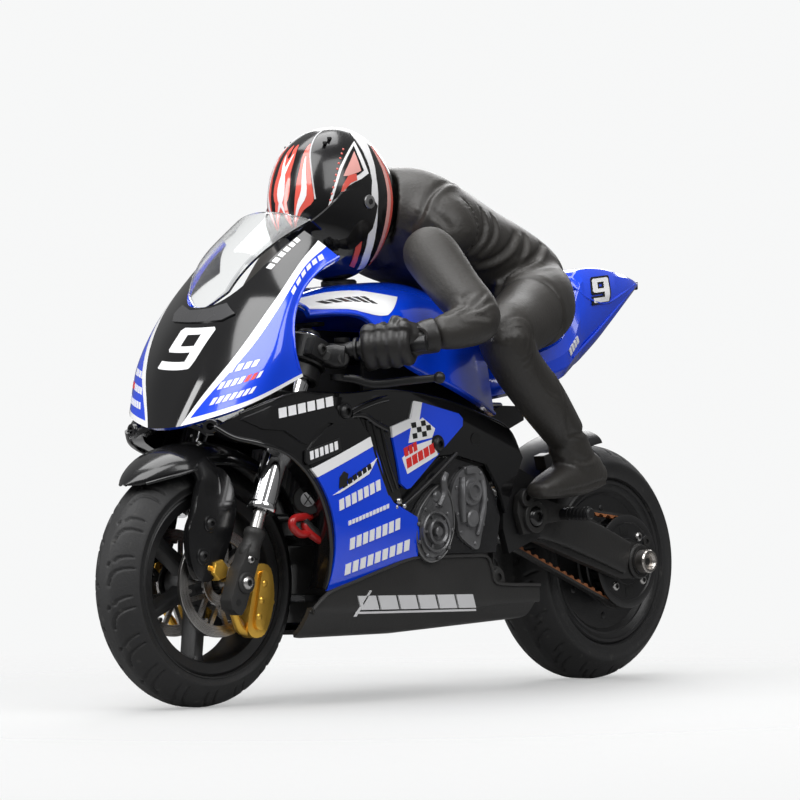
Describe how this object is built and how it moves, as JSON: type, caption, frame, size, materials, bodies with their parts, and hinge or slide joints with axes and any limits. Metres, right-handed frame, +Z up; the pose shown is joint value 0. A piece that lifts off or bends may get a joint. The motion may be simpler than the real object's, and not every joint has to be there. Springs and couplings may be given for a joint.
{
  "type": "radio controlled racing motorcycle",
  "caption": "Small radio controlled racing motorcycle with a crouched toy rider, steering fork, swingarm, belt driven rear wheel and clip-on fairings.",
  "frame": {"origin": "on the ground, half way along the machine, under its middle", "axes": "+X forward, +Y to the rider's left, +Z up"},
  "size_m": [0.2008, 0.0922, 0.1391],
  "materials": {
    "tyre_rubber": "matt moulded rubber",
    "wheel_plastic": "satin",
    "steel": "brushed",
    "chrome": "polished",
    "gold": "gold anodised",
    "black_plastic": "satin",
    "gloss_black": "gloss",
    "blue_paint": "gloss paint",
    "grey_cover": "satin",
    "clear": "clear",
    "seat_foam": "matt",
    "belt_rubber": "matt",
    "suit": "leather-like satin",
    "helmet_paint": "gloss paint",
    "visor_tint": "dark gloss",
    "aluminium": "satin",
    "battery_wrap": "shrink wrap"
  },
  "bodies": {
    "chassis": {"main_frame": "black_plastic", "battery_tray": "black_plastic", "battery_pack": "battery_wrap", "speed_controller": "black_plastic", "steering_servo": "black_plastic", "motor": "steel", "swing_pivot_left": "steel", "swing_pivot_right": "steel", "radiator": "grey_cover", "side_fairing_left": "gloss_black", "side_fairing_right": "gloss_black", "engine_cover_left": "grey_cover", "engine_cover_right": "grey_cover", "belly_pan": "black_plastic", "nose_cowl": "blue_paint", "windscreen": "clear", "nose_duct": "gloss_black", "tank_cover": "blue_paint", "seat_pad": "seat_foam", "tail_cover": "blue_paint", "foot_peg_left": "aluminium", "foot_peg_right": "aluminium", "shock_body": "aluminium", "rider_torso": "suit", "rider_leg_left": "suit", "rider_leg_right": "suit", "helmet": "helmet_paint"},
    "steering_head": {"fork_tube_left": "chrome", "fork_tube_right": "chrome", "lower_yoke": "black_plastic", "upper_yoke": "black_plastic", "handlebar_left": "black_plastic", "handlebar_right": "black_plastic", "rider_hand_left": "suit", "rider_hand_right": "suit"},
    "fork_slider": {"fork_leg_left": "black_plastic", "fork_leg_right": "black_plastic", "front_axle": "steel", "brake_caliper_left": "gold", "brake_caliper_right": "gold", "front_fender": "gloss_black"},
    "front_wheel": {"front_tyre": "tyre_rubber", "front_rim": "wheel_plastic", "brake_disc_left": "steel", "brake_disc_right": "steel"},
    "swing_arm": {"swingarm": "black_plastic", "rear_axle": "steel", "rear_hugger": "black_plastic", "drive_belt": "belt_rubber"},
    "rear_wheel": {"rear_tyre": "tyre_rubber", "rear_rim": "wheel_plastic", "rear_pulley": "black_plastic"},
    "motor_drive": {"motor_pulley": "aluminium"},
    "shock_piston": {"shock_rod": "steel", "shock_spring": "gold"},
    "lever_left": {"hand_lever_left": "black_plastic"},
    "lever_right": {"hand_lever_right": "black_plastic"},
    "visor_shield": {"visor": "visor_tint"},
    "arm_left": {"rider_arm_left": "suit"},
    "arm_right": {"rider_arm_right": "suit"}
  },
  "joints": [
    {"name": "steering", "type": "hinge", "parent": "chassis", "child": "steering_head", "pos_m": [0.0499, 0, 0.07396], "axis": [-0.3746, 0, 0.9272], "range_deg": [-12, 12], "stiffness_Nm_per_rad": 0.12},
    {"name": "fork_travel", "type": "slide", "parent": "steering_head", "child": "fork_slider", "axis": [-0.3746, 0, 0.9272], "range_m": [0, 0.0045], "stiffness_N_per_m": 700, "springref_m": -0.005},
    {"name": "front_wheel_spin", "type": "hinge", "parent": "fork_slider", "child": "front_wheel", "pos_m": [0.0716, 0, 0.0288], "axis": [0, 1, 0], "continuous": true},
    {"name": "swingarm_travel", "type": "hinge", "parent": "chassis", "child": "swing_arm", "pos_m": [-0.021, 0, 0.043], "axis": [0, 1, 0], "range_deg": [0, 7], "stiffness_Nm_per_rad": 1, "springref_deg": -9.17},
    {"name": "rear_wheel_spin", "type": "hinge", "parent": "swing_arm", "child": "rear_wheel", "pos_m": [-0.0694, 0, 0.031], "axis": [0, 1, 0], "continuous": true},
    {"name": "motor_pulley_spin", "type": "hinge", "parent": "chassis", "child": "motor_drive", "pos_m": [-0.021, 0, 0.043], "axis": [0, 1, 0], "continuous": true},
    {"name": "shock_travel", "type": "slide", "parent": "chassis", "child": "shock_piston", "axis": [0, 0, 1], "range_m": [0, 0.0013], "deforming": ["shock_spring"]},
    {"name": "left_lever_pull", "type": "hinge", "parent": "steering_head", "child": "lever_left", "pos_m": [0.0456, 0.0216, 0.076], "axis": [0, 0, -1], "range_deg": [0, 8], "stiffness_Nm_per_rad": 0.002, "springref_deg": -11.46},
    {"name": "right_lever_pull", "type": "hinge", "parent": "steering_head", "child": "lever_right", "pos_m": [0.0456, -0.0216, 0.076], "axis": [0, 0, 1], "range_deg": [0, 8], "stiffness_Nm_per_rad": 0.002, "springref_deg": -11.46},
    {"name": "visor_lift", "type": "hinge", "parent": "chassis", "child": "visor_shield", "pos_m": [0.0262, 0, 0.12008], "axis": [0, -1, 0], "range_deg": [0, 28]},
    {"name": "left_arm_swing", "type": "hinge", "parent": "chassis", "child": "arm_left", "pos_m": [0.0095, 0.026, 0.106], "axis": [-0.3709, 0.9222, 0.1097], "range_deg": [-12.9, 12.9]},
    {"name": "right_arm_swing", "type": "hinge", "parent": "chassis", "child": "arm_right", "pos_m": [0.0095, -0.026, 0.106], "axis": [-0.3709, -0.9222, 0.1097], "range_deg": [-12.9, 12.9]}
  ],
  "couplings": [
    {"joint": "motor_pulley_spin", "follows": "rear_wheel_spin", "ratio": 2.4},
    {"joint": "shock_travel", "follows": "swingarm_travel", "m_per_rad": 0.01},
    {"joint": "left_arm_swing", "follows": "steering", "ratio": 1.0532},
    {"joint": "right_arm_swing", "follows": "steering", "ratio": 1.0532}
  ]
}
